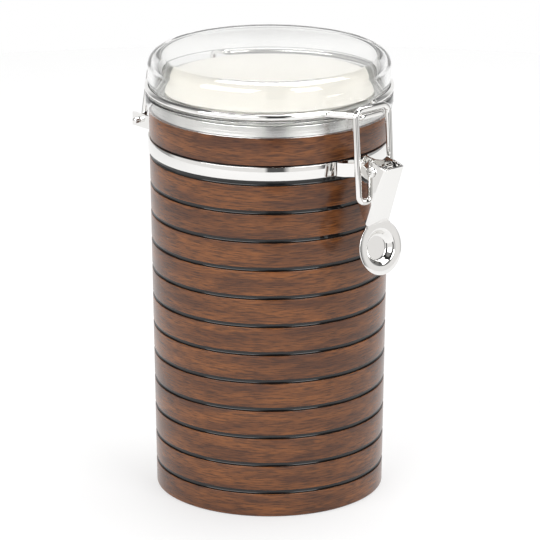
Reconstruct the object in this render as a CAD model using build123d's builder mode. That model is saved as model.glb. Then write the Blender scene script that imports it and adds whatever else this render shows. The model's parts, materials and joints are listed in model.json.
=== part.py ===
from build123d import *
import os
from math import asin, atan2, cos, degrees, radians, sin, sqrt

# Driving dimensions of the can, in millimetres
base_radius = 56.4  # outside of the wood bands where they meet the table
draft = 0.0142  # growth of that radius for each millimetre of height
band_proud = 1.0  # how far a wood band stands out of the black shell
shell_wall = 1.2
rim_rounding = 0.48
floor_thickness = 1.2
pan_clearance = 0.05
pan_rim_height = 6.0
bead_inner = 40.0
bead_width = 6.0
bead_height = 1.2
foot_height = 0.4  # bare edge of the shell below the lowest band
skin_gap = 0.02  # gap left between a thin piece and the surface that it covers
foot_band_height = 11.56
band_height = 12.38
groove_height = 2.0
band_count = 12  # wood bands below the clamp strap
strap_channel_height = 10.2
shoulder_band_height = 14.05  # the one wood band above the strap
rim_height = 5.4  # bare neck of the shell above the top band
band_chamfer = 0.3

# Driving dimensions of the clamp strap and its two brackets
strap_height = 6.75
strap_thickness = 1.0
strap_top_gap = 0.55  # gap between the strap and the wood band above it
strap_seat_depth = 0.3  # the strap's seat lies this far inside the bands
strap_seat_gap = 0.05
seat_slope_low = 0.5  # height of the slope that leads into the strap's seat
seat_slope_high = 0.2
strap_split = 5.0
plate_thickness = 0.8
latch_plate_half = 10.6
arm_root_half = 9.5
arm_half = 4.6  # middle of each arm's thickness at the pivot
arm_thickness = 1.0
arm_run = 2.1  # the arms run straight this far behind the lever's flanges
arm_tip_radius = 3.5
strap_rivet_radius = 1.5
rivet_hole = 0.9
shank_clearance = 0.03
shank_start = 0.05  # the shank starts this far out of the plate
plate_sweep = 16.0  # span of the block that the latch plate is cut from
hinge_plate_sweep = 36.0
arm_flare = 3.0  # how far in and out of the strap the arm keeps its full height
strap_rivet_head = 0.7
strap_rivet_taper = 25.0
latch_rivet_half = 6.4
hinge_rivet_half = 12.0
ear_side_gap = 2.8  # from the middle of the wire's leg to the middle of the ear
ear_thickness = 1.0
ear_lip = 4.8  # the ears reach this far past the hinge axis

# Driving dimensions of the lid
skirt_gap = 1.3  # between the can's neck and the inside of the lid's skirt
skirt_wall = 1.2
skirt_depth = 6.9
skirt_step = 0.25
flange_thickness = 2.1
flange_width = 9.3  # from the bore out to the floor of the wire's groove
flange_lip = 0.6  # from the underside of the flange up to the floor of the wire's groove
skirt_chamfer = 0.8
wall_chamfer = 0.4
step_height = 1.5
wall_set_in = 1.137  # the lid's wall stands this far inside its skirt
lid_wall = 2.4
groove_depth = 1.8
wire_groove_height = 5.2
lid_height = 19.7  # from the underside of the flange to the top
shoulder_radius = 6.0
top_thickness = 2.6
gasket_thickness = 1.4
gasket_rounding = 0.4
gasket_gap = 0.2
gasket_inset = 2.1  # from the flange's bore out to the gasket
gasket_edge_gap = 0.237  # from the gasket out to the outside of the can's rim
liner_overlap = 2.0
liner_thickness = 1.4
plug_gap = 0.3
plug_depth = 3.0
seat_gap = 0.2
gasket_squeeze = 0.05

# Driving dimensions of the two wires
wire_radius = 1.6
ring_gap = 0.2  # between the wire and the floor of its groove
ring_drop = 0.4  # the wire lies this far below the middle of its groove
nose_length = 13.4  # from the ring's radius out to the nose
nose_half = 6.5
nose_flare = 30.0  # angle of the nose's sides, in degrees
wire_bend = 4.0
nose_bend = 3.0
leg_half = 20.5
leg_length = 5.9  # from the ring's radius back to the corner of the leg
leg_bend = 3.5
leg_foot_bend = 2.2
hinge_standoff = 11.345  # from the outside of the strap back to the hinge axis
hinge_stub = 3.7  # the wire ends this far outside the middle of the ear
hinge_clearance = 0.06
hook_gap = 0.4
bail_side_gap = 3.0  # from the lever's widest side to the middle of the wire
bail_bend = 4.2
bail_foot_bend = 3.1
bail_end = 4.9

# Driving dimensions of the lever, placed by its two pivots
pivot_standoff = 19.945  # from the face of the latch plate out to the pivot
pivot_above_strap = -0.8  # height of the pivot over the strap's top edge
bail_pivot_in = 4.4  # the bail's pivot lies this far inside the lever's
bail_pivot_drop = 15.7  # and this far below it
lever_sheet = 0.9
lever_top_half = 6.5
lever_fold_half = 7.7
pivot_radius = 1.5
pivot_clearance = 0.08
rivet_head_radius = 2.6
rivet_head_height = 0.9
rivet_head_taper = 12.0
rivet_head_gap = 0.15  # gap between the lever's side and the head of its pivot rivet
rivet_eye = 1.05  # radius of the hollow in each head
fold_lap = 1.2  # the tab's sheet runs this far up behind the channel's face
tab_radius = 13.4
tab_length = 25.0
tab_tilt = 10.4  # lean of the finger tab out of the vertical, in degrees
dish_radius = 9.4
dish_floor_radius = 5.6
dish_depth = 3.4
dish_joint = 0.5  # overlap that joins the dish to the flat of the tab
margin = 2.0  # overrun of the cutting shapes beyond the lever

os.makedirs("parts", exist_ok=True)


def band_radius(z):
    """Outside of the wood bands at a height."""
    return base_radius + draft * z


def shell_radius(z):
    """Outside of the black shell at a height."""
    return band_radius(z) - band_proud


def save(piece, name):
    """Label one finished piece and write its STEP file."""
    piece.label = name
    export_step(piece, f"parts/{name}.step")


def plate_spots(half_spacing, side):
    """Two rivet places on a bracket plate, each facing straight out of its curved face."""
    depth = side * sqrt(plate_outer**2 - half_spacing**2)
    return [
        Plane(origin=(x, depth, strap_middle), z_dir=(x, depth, 0)).location
        for x in (-half_spacing, half_spacing)
    ]


# Heights that follow from the driving dimensions
band_pitch = band_height + groove_height
foot_band_top = foot_height + foot_band_height
channel_bottom = foot_band_top + (band_count - 1) * band_pitch
channel_top = channel_bottom + strap_channel_height
shoulder_top = channel_top + shoulder_band_height
rim_top = shoulder_top + rim_height
strap_top = channel_top - strap_top_gap
strap_bottom = strap_top - strap_height
strap_middle = (strap_top + strap_bottom) / 2
strap_seat = band_radius(strap_middle) - strap_seat_depth
strap_inner = strap_seat + strap_seat_gap
strap_outer = strap_inner + strap_thickness
plate_outer = strap_outer + plate_thickness
flange_bottom = rim_top + gasket_gap + gasket_thickness
flange_top = flange_bottom + flange_thickness
lid_top = flange_bottom + lid_height
ring_height = flange_bottom + (flange_thickness + wire_groove_height) / 2 - ring_drop
pivot_height = strap_top + pivot_above_strap
pivot_reach = plate_outer + pivot_standoff
bail_pivot_reach = pivot_reach - bail_pivot_in
bail_pivot_height = pivot_height - bail_pivot_drop

# Radii that follow from the can, from the neck out to the wires
skirt_inner = shell_radius(rim_top) + skirt_gap
skirt_outer = skirt_inner + skirt_wall
wall_radius = skirt_outer - wall_set_in
groove_floor = wall_radius - groove_depth
flange_bore = groove_floor - flange_width
gasket_inner = flange_bore + gasket_inset
gasket_outer = shell_radius(rim_top) - gasket_edge_gap
liner_radius = flange_bore + liner_overlap
ring_radius = groove_floor + ring_gap + wire_radius
nose_reach = ring_radius + nose_length
leg_corner_y = ring_radius + leg_length
hinge_y = strap_outer + hinge_standoff
ear_reach = hinge_y + ear_lip
ear_half = leg_half + ear_side_gap
hinge_end = ear_half + hinge_stub
bail_half = lever_fold_half + bail_side_gap

# Side view of the lever's channel, as reach and height from the lever's pivot
face_top = (8.7, 2.4)
face_fold = (-2.4, -27.7)
flange_peak = (-2.2, 5.2)
flange_shoulder = (-7.8, 0.5)
flange_heel = (-7.8, -19.0)
arm_straight_from = pivot_reach + flange_heel[0] - arm_run

# Black can shell: a drafted tube with a thicker seat under the strap and a rounded rim
with BuildPart() as can_shell:
    with BuildSketch(Plane.XZ):
        with BuildLine():
            Polyline(
                (shell_radius(0) - shell_wall, 0),
                (shell_radius(0), 0),
                (shell_radius(channel_bottom), channel_bottom),
                (strap_seat, channel_bottom + seat_slope_low),
                (strap_seat, channel_top - seat_slope_high),
                (shell_radius(channel_top), channel_top),
                (shell_radius(rim_top), rim_top),
                (shell_radius(rim_top) - shell_wall, rim_top),
                close=True,
            )
        make_face()
    revolve(axis=Axis.Z)
    fillet(can_shell.edges().group_by(Axis.Z)[-1], rim_rounding)
save(can_shell.part, "can_shell")

# Base pan: a flat floor with a stiffening bead and a rim that fits inside the shell
pan_radius = shell_radius(0) - shell_wall - pan_clearance
with BuildPart() as base_pan:
    with BuildSketch(Plane.XZ):
        with BuildLine():
            Polyline(
                (0, 0),
                (bead_inner, 0),
                (bead_inner + bead_height, bead_height),
                (bead_inner + bead_width - bead_height, bead_height),
                (bead_inner + bead_width, 0),
                (pan_radius, 0),
                (pan_radius, pan_rim_height),
                (pan_radius - floor_thickness, pan_rim_height),
                (pan_radius - floor_thickness, floor_thickness),
                (bead_inner + bead_width, floor_thickness),
                (bead_inner + bead_width - bead_height, floor_thickness + bead_height),
                (bead_inner + bead_height, floor_thickness + bead_height),
                (bead_inner, floor_thickness),
                (0, floor_thickness),
                close=True,
            )
        make_face()
    revolve(axis=Axis.Z)
save(base_pan.part, "base_pan")

# Wood bands: one drafted ring for each land, numbered from the table up
band_bottoms = [foot_height]
band_tops = [foot_band_top]
for index in range(1, band_count):
    band_bottoms.append(foot_band_top + groove_height + (index - 1) * band_pitch)
    band_tops.append(band_bottoms[-1] + band_height)
band_bottoms.append(channel_top)
band_tops.append(shoulder_top)
for index, (low, high) in enumerate(zip(band_bottoms, band_tops)):
    with BuildPart() as wood_band:
        with BuildSketch(Plane.XZ):
            with BuildLine():
                Polyline(
                    (shell_radius(low) + skin_gap, low),
                    (band_radius(low) - band_chamfer, low),
                    (band_radius(low), low + band_chamfer),
                    (band_radius(high), high - band_chamfer),
                    (band_radius(high) - band_chamfer, high),
                    (shell_radius(high) + skin_gap, high),
                    close=True,
                )
            make_face()
        revolve(axis=Axis.Z)
    save(wood_band.part, f"wood_band_{index + 1:02d}")

# Clamp strap: a flat ring round its seat, split at the front behind the latch plate
with BuildPart() as clamp_strap:
    with BuildSketch(Plane.XY.offset(strap_bottom)):
        Circle(strap_outer)
        Circle(strap_inner, mode=Mode.SUBTRACT)
        with Locations((0, -strap_outer)):
            Rectangle(strap_split, 4 * strap_thickness, mode=Mode.SUBTRACT)
    extrude(amount=strap_height)
save(clamp_strap.part, "clamp_strap")

# Latch bracket: a curved plate over the strap with two arms that carry the lever
with BuildPart() as arm_outline:
    with BuildSketch(Plane.YZ.offset(-latch_plate_half)):
        with BuildLine():
            Polyline(
                (-strap_outer + arm_flare, strap_bottom),
                (-strap_outer - arm_flare, strap_bottom),
                (-pivot_reach, pivot_height - arm_tip_radius),
                (-pivot_reach, pivot_height + arm_tip_radius),
                (-strap_outer - arm_flare, strap_top),
                (-strap_outer + arm_flare, strap_top),
                close=True,
            )
        make_face()
        with Locations((-pivot_reach, pivot_height)):
            Circle(arm_tip_radius)
    extrude(amount=2 * latch_plate_half)
arm_root_y = -sqrt(plate_outer**2 - arm_root_half**2) + plate_thickness / 2
with BuildPart() as latch_bracket:
    with BuildSketch(Plane.XY.offset(strap_bottom - arm_tip_radius)):
        for side in (-1, 1):
            with BuildLine() as arm_line:
                Polyline(
                    (side * arm_root_half, arm_root_y),
                    (side * arm_half, -arm_straight_from),
                    (side * arm_half, -pivot_reach - arm_tip_radius - 1),
                )
            trace(arm_line.wires(), line_width=arm_thickness)
    extrude(amount=strap_height + 3 * arm_tip_radius)
    add(arm_outline.part, mode=Mode.INTERSECT)
    with BuildSketch(Plane.XY.offset(strap_bottom)):
        with Locations((0, -strap_outer)):
            Rectangle(2 * latch_plate_half, plate_sweep)
        Circle(plate_outer, mode=Mode.INTERSECT)
        Circle(strap_outer + skin_gap, mode=Mode.SUBTRACT)
    extrude(amount=strap_height)
    with Locations(Location((0, -pivot_reach, pivot_height), (0, 90, 0))):
        Cylinder(pivot_radius + skin_gap, 4 * arm_half, mode=Mode.SUBTRACT)
    with Locations(*plate_spots(latch_rivet_half, -1)):
        Cylinder(rivet_hole, 4 * plate_thickness, mode=Mode.SUBTRACT)
save(latch_bracket.part, "latch_bracket")


def strap_rivet_pair(half_spacing, side):
    """Two domed rivets through a bracket plate, at the front (-1) or the rear (1)."""
    with BuildPart() as rivets:
        for spot in plate_spots(half_spacing, side):
            with BuildSketch(Plane(spot).offset(skin_gap)):
                Circle(strap_rivet_radius)
            extrude(amount=strap_rivet_head, taper=strap_rivet_taper)
            with BuildSketch(Plane(spot).offset(shank_start)):
                Circle(rivet_hole - shank_clearance)
            extrude(amount=-plate_thickness)
    return rivets.part


save(strap_rivet_pair(latch_rivet_half, -1), "latch_plate_rivets")
save(strap_rivet_pair(hinge_rivet_half, 1), "hinge_plate_rivets")

# Hinge bracket: a curved plate at the rear with an ear at each end
hinge_height = strap_middle
with BuildPart() as hinge_bracket:
    with BuildSketch(Plane.XY.offset(strap_bottom)):
        with Locations((0, strap_outer)):
            Rectangle(2 * ear_half + ear_thickness, hinge_plate_sweep)
        Circle(plate_outer, mode=Mode.INTERSECT)
        Circle(strap_outer + skin_gap, mode=Mode.SUBTRACT)
        ear_start = sqrt(strap_outer**2 - ear_half**2) + plate_thickness
        with Locations((-ear_half, (ear_start + ear_reach) / 2), (ear_half, (ear_start + ear_reach) / 2)):
            Rectangle(ear_thickness, ear_reach - ear_start)
    extrude(amount=strap_height)
    with Locations(Location((0, hinge_y, hinge_height), (0, 90, 0))):
        Cylinder(wire_radius + hinge_clearance, 4 * ear_half, mode=Mode.SUBTRACT)
    with Locations(*plate_spots(hinge_rivet_half, 1)):
        Cylinder(rivet_hole, 4 * plate_thickness, mode=Mode.SUBTRACT)
save(hinge_bracket.part, "hinge_bracket")

# Lean of the lever's face, and the step through its sheet
face_lean = atan2(face_top[0] - face_fold[0], face_top[1] - face_fold[1])
sheet_in = (-lever_sheet * cos(face_lean), lever_sheet * sin(face_lean))


def lever_point(offset):
    """A point of the lever's side view in the plane of Y and Z."""
    return (-(pivot_reach + offset[0]), pivot_height + offset[1])


def lever_half(above_pivot):
    """Half the channel's width at a height above its pivot: it widens down to the fold."""
    share = (flange_peak[1] - above_pivot) / (flange_peak[1] - face_fold[1])
    return lever_top_half + (lever_fold_half - lever_top_half) * share


def lever_width(sheet):
    """Front view of the channel, drawn in by the thickness of a sheet."""
    low = face_fold[1] - margin
    high = flange_peak[1] + margin
    return [
        (-lever_half(low) + sheet, pivot_height + low),
        (lever_half(low) - sheet, pivot_height + low),
        (lever_half(high) - sheet, pivot_height + high),
        (-lever_half(high) + sheet, pivot_height + high),
    ]


# Lever pivot rivet: a pin through both arms with a hollow head at each end
rivet_face = lever_half(-rivet_head_radius) + rivet_head_gap
with BuildPart() as pivot_rivet:
    with BuildSketch(Plane.YZ.offset(-rivet_face)):
        with Locations((-pivot_reach, pivot_height)):
            Circle(pivot_radius)
    extrude(amount=2 * rivet_face)
    for side in (-1, 1):
        with BuildSketch(Plane(origin=(side * rivet_face, -pivot_reach, pivot_height), z_dir=(side, 0, 0))):
            Circle(rivet_head_radius)
        extrude(amount=rivet_head_height, taper=rivet_head_taper)
        with BuildSketch(
            Plane(origin=(side * (rivet_face + rivet_head_height), -pivot_reach, pivot_height), z_dir=(side, 0, 0))
        ):
            Circle(rivet_eye)
        extrude(amount=-rivet_head_height, mode=Mode.SUBTRACT)
save(pivot_rivet.part, "lever_pivot_rivet")

# Clear lid: skirt, wire groove, wall, rounded shoulder and flat top over a hollow
skirt_bottom = flange_bottom - skirt_depth
groove_bottom = flange_bottom + flange_lip
groove_top = groove_bottom + wire_groove_height
inner_radius = groove_floor - lid_wall
inner_top = lid_top - top_thickness
inner_shoulder = shoulder_radius - lid_wall
with BuildPart() as lid_dome:
    with BuildSketch(Plane.XZ):
        with BuildLine():
            Polyline(
                (flange_bore, flange_bottom),
                (skirt_inner, flange_bottom),
                (skirt_inner, skirt_bottom),
                (skirt_outer - 2 * skirt_step, skirt_bottom),
                (skirt_outer - 2 * skirt_step, skirt_bottom + step_height),
                (skirt_outer - skirt_step, skirt_bottom + step_height),
                (skirt_outer - skirt_step, skirt_bottom + 2 * step_height),
                (skirt_outer, skirt_bottom + 2 * step_height),
                (skirt_outer, groove_bottom - skirt_chamfer),
                (skirt_outer - skirt_chamfer, groove_bottom),
                (groove_floor, groove_bottom),
                (groove_floor, groove_top),
                (wall_radius - wall_chamfer, groove_top),
                (wall_radius, groove_top + wall_chamfer),
                (wall_radius, lid_top - shoulder_radius),
            )
            RadiusArc(
                (wall_radius, lid_top - shoulder_radius),
                (wall_radius - shoulder_radius, lid_top),
                -shoulder_radius,
            )
            Line((wall_radius - shoulder_radius, lid_top), (0, lid_top))
            Line((0, lid_top), (0, inner_top))
            Line((0, inner_top), (inner_radius - inner_shoulder, inner_top))
            RadiusArc(
                (inner_radius - inner_shoulder, inner_top),
                (inner_radius, inner_top - inner_shoulder),
                inner_shoulder,
            )
            Polyline(
                (inner_radius, inner_top - inner_shoulder),
                (inner_radius, flange_top),
                (flange_bore, flange_top),
                (flange_bore, flange_bottom),
            )
        make_face()
    revolve(axis=Axis.Z)
save(lid_dome.part, "lid_dome")

# Lid liner: a cream disc on the flange with a short plug through its bore
liner_bottom = flange_top + seat_gap
plug_outer = flange_bore - plug_gap
with BuildPart() as lid_liner:
    with BuildSketch(Plane.XZ):
        with BuildLine():
            Polyline(
                (0, liner_bottom),
                (plug_outer - liner_thickness, liner_bottom),
                (plug_outer - liner_thickness, rim_top - plug_depth),
                (plug_outer, rim_top - plug_depth),
                (plug_outer, liner_bottom),
                (liner_radius, liner_bottom),
                (liner_radius, liner_bottom + liner_thickness),
                (0, liner_bottom + liner_thickness),
                close=True,
            )
        make_face()
    revolve(axis=Axis.Z)
save(lid_liner.part, "lid_liner")

# Gasket: a flat ring between the lid's flange and the can's rim
with BuildPart() as gasket:
    with BuildSketch(Plane.XY.offset(rim_top + gasket_gap)):
        Circle(gasket_outer)
        Circle(gasket_inner, mode=Mode.SUBTRACT)
    extrude(amount=gasket_thickness - gasket_squeeze)
    fillet(gasket.edges().filter_by(GeomType.CIRCLE).group_by(SortBy.RADIUS)[-1], gasket_rounding)
save(gasket.part, "gasket")


def leave_circle(half, reach, flare):
    """Angle at which the wire leaves its circle, and the point where its bend ends."""
    lean = radians(flare)
    outer = ring_radius + wire_bend
    angle = asin((half * cos(lean) + reach * sin(lean) + wire_bend) / outer) - lean
    bend_x = outer * sin(angle) - wire_bend * cos(lean)
    bend_y = outer * cos(angle) - wire_bend * sin(lean)
    return angle, bend_x, bend_y


# Lid wire: nose at the front, ring in the lid's groove, legs down to the rear hinge
front_angle, front_x, front_y = leave_circle(nose_half, nose_reach, nose_flare)
rear_angle, rear_x, rear_y = leave_circle(leg_half, hinge_y, 0)
with BuildPart() as lid_wire:
    with BuildLine() as half_path:
        nose = FilletPolyline(
            (0, -nose_reach, ring_height),
            (nose_half, -nose_reach, ring_height),
            (front_x, -front_y, ring_height),
            radius=nose_bend,
        )
        front_bend = TangentArc(
            nose @ 1,
            (ring_radius * sin(front_angle), -ring_radius * cos(front_angle), ring_height),
            tangent=nose % 1,
        )
        ring = CenterArc(
            (0, 0, ring_height),
            ring_radius,
            degrees(front_angle) - 90,
            180 - degrees(front_angle) - degrees(rear_angle),
        )
        rear_bend = TangentArc(ring @ 1, (rear_x, rear_y, ring_height), tangent=ring % 1)
        leg = FilletPolyline(
            (rear_x, rear_y, ring_height),
            (leg_half, leg_corner_y, ring_height),
            (leg_half, hinge_y, hinge_height),
            (hinge_end, hinge_y, hinge_height),
            radius=[leg_bend, leg_foot_bend],
        )
    with BuildSketch(Plane.YZ):
        with Locations((-nose_reach, ring_height)):
            Circle(wire_radius)
    sweep(path=half_path.wires()[0])
    mirror(about=Plane.YZ)
save(lid_wire.part, "lid_wire")

# Bail: a wire hoop from the lever's flanges up over the nose of the lid wire
hook_height = ring_height + 2 * wire_radius + hook_gap
with BuildPart() as bail:
    with BuildLine() as bail_path:
        FilletPolyline(
            (0, -nose_reach, hook_height),
            (bail_half, -nose_reach, hook_height),
            (bail_half, -bail_pivot_reach, bail_pivot_height),
            (bail_end, -bail_pivot_reach, bail_pivot_height),
            radius=[bail_bend, bail_foot_bend],
        )
    with BuildSketch(Plane.YZ):
        with Locations((-nose_reach, hook_height)):
            Circle(wire_radius)
    sweep(path=bail_path.wires()[0])
    mirror(about=Plane.YZ)
save(bail.part, "bail")

# Lever: a stamped channel with a round, dished finger tab
with BuildPart() as channel_hollow:
    with BuildSketch(Plane.YZ.offset(-lever_fold_half - margin)):
        with BuildLine():
            Polyline(
                lever_point((face_top[0] + sheet_in[0], face_top[1] + sheet_in[1] + 3 * margin)),
                lever_point((face_top[0] + sheet_in[0], face_top[1] + sheet_in[1])),
                lever_point((face_fold[0] + sheet_in[0], face_fold[1] + sheet_in[1])),
                lever_point((flange_heel[0] - 3 * margin, face_fold[1])),
                lever_point((flange_heel[0] - 3 * margin, face_top[1] + 3 * margin)),
                close=True,
            )
        make_face()
    extrude(amount=2 * (lever_fold_half + margin))
    with BuildSketch(Plane.XZ.offset(pivot_reach + 10 * margin)):
        with BuildLine():
            Polyline(*lever_width(lever_sheet), close=True)
        make_face()
    extrude(amount=-20 * margin, mode=Mode.INTERSECT)

tab_lean = radians(tab_tilt)
fold_y, fold_z = lever_point(face_fold)
tab_middle = tab_length - tab_radius
tab_plane = Plane(
    origin=(0, fold_y - tab_middle * sin(tab_lean), fold_z - tab_middle * cos(tab_lean)),
    x_dir=(1, 0, 0),
    z_dir=(0, -cos(tab_lean), sin(tab_lean)),
)
with BuildPart() as lever:
    with BuildSketch(Plane.YZ.offset(-lever_fold_half - margin)):
        with BuildLine():
            Polyline(
                lever_point(face_top),
                lever_point(face_fold),
                lever_point(flange_heel),
                lever_point(flange_shoulder),
                lever_point(flange_peak),
                close=True,
            )
        make_face()
    extrude(amount=2 * (lever_fold_half + margin))
    with BuildSketch(Plane.XZ.offset(pivot_reach + 10 * margin)):
        with BuildLine():
            Polyline(*lever_width(0), close=True)
        make_face()
    extrude(amount=-20 * margin, mode=Mode.INTERSECT)
    add(channel_hollow.part, mode=Mode.SUBTRACT)
    with BuildSketch(tab_plane):
        Circle(tab_radius)
        with Locations((0, (tab_middle + fold_lap) / 2)):
            Rectangle(2 * lever_fold_half, tab_middle + fold_lap)
        Circle(dish_radius, mode=Mode.SUBTRACT)
    extrude(amount=-lever_sheet)
    with BuildSketch(Plane(tab_plane.origin, x_dir=(1, 0, 0), z_dir=tab_plane.y_dir)):
        with BuildLine():
            Polyline(
                (0, dish_depth),
                (dish_floor_radius, dish_depth),
                (dish_radius, 0),
                (dish_radius + dish_joint, 0),
                (dish_radius + dish_joint, lever_sheet),
                (dish_radius, lever_sheet),
                (dish_floor_radius, dish_depth + lever_sheet),
                (0, dish_depth + lever_sheet),
                close=True,
            )
        make_face()
    revolve(axis=Axis(tab_plane.origin, tab_plane.z_dir))
    with Locations(Location((0, -pivot_reach, pivot_height), (0, 90, 0))):
        Cylinder(pivot_radius + pivot_clearance, 4 * lever_fold_half, mode=Mode.SUBTRACT)
    with Locations(Location((0, -bail_pivot_reach, bail_pivot_height), (0, 90, 0))):
        Cylinder(wire_radius + pivot_clearance, 4 * lever_fold_half, mode=Mode.SUBTRACT)
save(lever.part, "lever")

print(f"rim {rim_top:.2f}, strap {strap_bottom:.2f} to {strap_top:.2f}, lid top {lid_top:.2f}")
print(f"ring height {ring_height:.2f}, hinge axis y {hinge_y:.2f} z {hinge_height:.2f}")
print(f"lever pivot y {-pivot_reach:.2f} z {pivot_height:.2f}")
print(f"bail pivot y {-bail_pivot_reach:.2f} z {bail_pivot_height:.2f}")
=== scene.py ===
"""Looks of a clamp-top coffee canister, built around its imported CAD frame.

The can has wood-look bands over a black shell. Its clear hinged lid is pulled
down by a wire bail, which a stamped lever draws over the nose of the lid's wire.
"""

import json
import logging
from dataclasses import dataclass
from enum import Enum
from math import asin, cos, pi, radians, sin, tan
from typing import Any, Callable, Optional, Sequence

import bpy
import bmesh
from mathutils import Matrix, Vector


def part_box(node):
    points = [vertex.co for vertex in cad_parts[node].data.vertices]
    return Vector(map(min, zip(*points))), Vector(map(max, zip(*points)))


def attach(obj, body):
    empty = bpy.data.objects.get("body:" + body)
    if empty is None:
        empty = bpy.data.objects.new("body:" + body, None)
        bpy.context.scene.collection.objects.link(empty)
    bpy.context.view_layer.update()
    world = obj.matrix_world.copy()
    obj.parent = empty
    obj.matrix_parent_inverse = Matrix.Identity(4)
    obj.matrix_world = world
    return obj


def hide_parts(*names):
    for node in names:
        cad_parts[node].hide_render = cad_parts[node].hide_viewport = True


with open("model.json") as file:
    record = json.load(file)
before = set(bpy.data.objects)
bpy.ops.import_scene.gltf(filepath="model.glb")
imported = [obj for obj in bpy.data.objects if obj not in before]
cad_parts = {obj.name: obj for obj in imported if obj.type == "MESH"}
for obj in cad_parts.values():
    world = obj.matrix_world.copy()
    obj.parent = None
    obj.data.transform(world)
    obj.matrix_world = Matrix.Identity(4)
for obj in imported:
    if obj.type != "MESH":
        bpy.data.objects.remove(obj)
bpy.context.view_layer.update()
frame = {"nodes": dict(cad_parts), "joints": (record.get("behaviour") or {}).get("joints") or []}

logging.basicConfig(level=logging.INFO, format="%(message)s")
log = logging.getLogger("canister")

MM = 0.001
TINY = 1e-6
ROUND_STEPS = 256  # steps round the axis of a turned piece
SHARP_DEG = 32.0  # an edge between faces at a larger angle stays sharp
WIRE_SHARP_DEG = 50.0
WIRE_SIDES = 24
BEND_STEPS = 8  # steps in each bend of a wire
WIRE_END_ROUND = 0.3  # rounding of a wire's ends, as a share of its radius
SAME_POINT_MM = 1e-4
OCTAVE_SHARE = 0.6  # strength of each finer octave of noise against the one before
BUMP_STRENGTH = 0.5
MIX_FROM, MIX_TO, MIX_RESULT = 6, 7, 2  # colour sockets of a mix node
Pair = tuple[float, float]
Faces = Sequence[Sequence[int]]


class Body(Enum):
    """The rigid bodies of the frame."""

    CAN = "can"
    LID = "lid"
    LEVER = "lever"
    BAIL = "bail"


def linear(hex_colour: str) -> tuple[float, float, float, float]:
    """Turn an sRGB hex colour into Blender's linear colour.

    Args:
        hex_colour: Six hex digits after a hash sign.

    Returns:
        Linear red, green, blue and an alpha of 1.
    """
    parts = [int(hex_colour[i : i + 2], 16) / 255 for i in (1, 3, 5)]
    # The numbers are those of the sRGB standard's curve
    red, green, blue = (
        c / 12.92 if c <= 0.04045 else ((c + 0.055) / 1.055) ** 2.4 for c in parts
    )
    return red, green, blue, 1.0


def per_metre(size_mm: float) -> float:
    """Texture scale at which one feature has a size in millimetres."""
    return 1 / (size_mm * MM)


def add_node(
    tree: bpy.types.NodeTree,
    kind: str,
    settings: Optional[dict[Any, Any]] = None,
    links: Optional[dict[Any, bpy.types.NodeSocket]] = None,
) -> bpy.types.Node:
    """Add a node with its settings and its incoming links.

    Args:
        tree: Node tree that takes the node.
        kind: Blender's identifier of the node type.
        settings: Values by attribute, by input name or by input number. The key
            "stops" holds a colour ramp's places and colours.
        links: Output sockets to join, by input name or number.

    Returns:
        The new node.
    """
    node = tree.nodes.new(kind)
    for key, value in (settings or {}).items():
        if key == "stops":
            ramp = node.color_ramp
            while len(ramp.elements) < len(value):
                ramp.elements.new(1.0)
            for element, (place, colour) in zip(ramp.elements, value):
                element.position = place
                element.color = colour
        elif isinstance(key, str) and hasattr(node, key):
            setattr(node, key, value)
        else:
            node.inputs[key].default_value = value
    for key, socket in (links or {}).items():
        tree.links.new(socket, node.inputs[key])
    return node


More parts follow.
